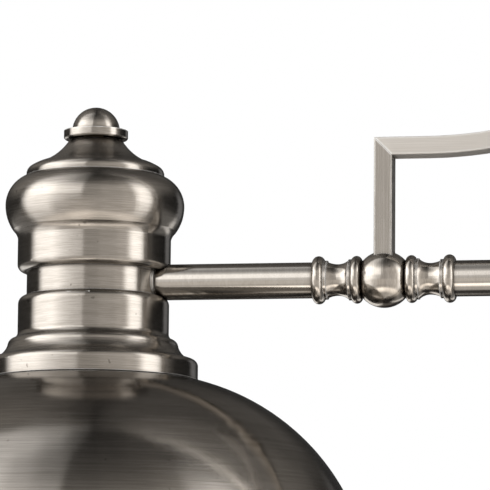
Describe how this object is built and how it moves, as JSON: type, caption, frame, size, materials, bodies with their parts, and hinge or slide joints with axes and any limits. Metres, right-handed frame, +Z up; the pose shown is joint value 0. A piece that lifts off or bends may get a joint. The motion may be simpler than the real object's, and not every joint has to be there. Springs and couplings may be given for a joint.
{
  "type": "pharmacy floor lamp",
  "caption": "Telescopic floor lamp with a swing arm braced by a mitred square stay and a dome shade on a turned cap that tilts.",
  "frame": {"origin": "on the floor, on the pole's axis, in the middle of the felt under the foot", "axes": "+Z up along the pole; the arm points along -X at rest; -Y is the front that the picture shows"},
  "size_m": [0.6304, 0.282, 1.241],
  "materials": {
    "satin_nickel": "satin brushed nickel plate",
    "cast_iron": "raw casting, black",
    "felt": "dark felt",
    "zinc_steel": "zinc plated",
    "brass": "bright brass",
    "nylon": "natural nylon",
    "black_nylon": "black nylon",
    "phenolic": "black phenolic",
    "flex_sheath": "sheathed flex",
    "red_lead": "insulated lead",
    "white_lead": "insulated lead",
    "frosted_glass": "frosted inside",
    "lamp_cap_alloy": "plain aluminium"
  },
  "bodies": {
    "stand": {"felt_pad": "felt", "base_weight": "cast_iron", "base_cover": "satin_nickel", "cord_bushing": "black_nylon", "base_nipple": "zinc_steel", "base_washer": "zinc_steel", "base_locknut": "zinc_steel", "pole_foot": "satin_nickel", "pole_plug": "zinc_steel", "lower_pole": "satin_nickel", "guide_bush": "nylon", "clamp_collar": "satin_nickel"},
    "clamp_knob": {"clamp_knob": "satin_nickel", "clamp_screw": "zinc_steel", "clamp_pad": "nylon"},
    "mast": {"upper_pole": "satin_nickel", "pole_stop_ring": "nylon", "hub_seat": "satin_nickel", "seat_grub_screw": "zinc_steel", "thrust_washer": "nylon", "finial_washer": "nylon", "mast_plug": "zinc_steel", "pole_finial": "satin_nickel", "pole_flex": "flex_sheath"},
    "arm": {"swing_hub": "satin_nickel", "hub_grub_screw": "zinc_steel", "arm_tube_inner": "satin_nickel", "knuckle_sleeve_inner": "satin_nickel", "knuckle_ball": "satin_nickel", "knuckle_sleeve_outer": "satin_nickel", "knuckle_stud": "zinc_steel", "stay_post": "satin_nickel", "stay_bar": "satin_nickel", "top_collar": "satin_nickel", "arm_tube_outer": "satin_nickel", "swivel_spigot": "zinc_steel", "swivel_washer": "black_nylon", "spring_washer": "zinc_steel", "swivel_nut": "zinc_steel", "arm_flex": "flex_sheath"},
    "head": {"cap_body": "satin_nickel", "cap_crown": "satin_nickel", "rotary_switch": "phenolic", "switch_nut": "brass", "shade_dome": "satin_nickel", "shade_ring_nut": "phenolic", "socket_bracket": "zinc_steel", "bracket_screws": "zinc_steel", "socket_nipple": "zinc_steel", "socket_nut": "zinc_steel", "socket_body": "phenolic", "socket_shell": "brass", "socket_contact": "brass", "bulb_glass": "frosted_glass", "bulb_cap": "lamp_cap_alloy", "lead_supply": "flex_sheath", "lead_switched": "red_lead", "lead_neutral": "white_lead"},
    "switch_knob": {"switch_knob": "satin_nickel", "switch_shaft": "zinc_steel"}
  },
  "joints": [
    {"name": "height_slide", "type": "slide", "parent": "stand", "child": "mast", "axis": [0, 0, 1], "range_m": [-0.2, 0.25]},
    {"name": "clamp_turn", "type": "hinge", "parent": "stand", "child": "clamp_knob", "pos_m": [0.019, 0, 0.656], "axis": [1, 0, 0], "range_deg": [0, 180]},
    {"name": "arm_swing", "type": "hinge", "parent": "mast", "child": "arm", "pos_m": [0, 0, 1.1], "axis": [0, 0, 1], "range_deg": [-90, 90]},
    {"name": "shade_tilt", "type": "hinge", "parent": "arm", "child": "head", "pos_m": [-0.33, 0, 1.1], "axis": [1, 0, 0], "range_deg": [-80, 80]},
    {"name": "switch_turn", "type": "hinge", "parent": "head", "child": "switch_knob", "pos_m": [-0.36, 0, 1.165], "axis": [0, 0, 1], "continuous": true}
  ]
}
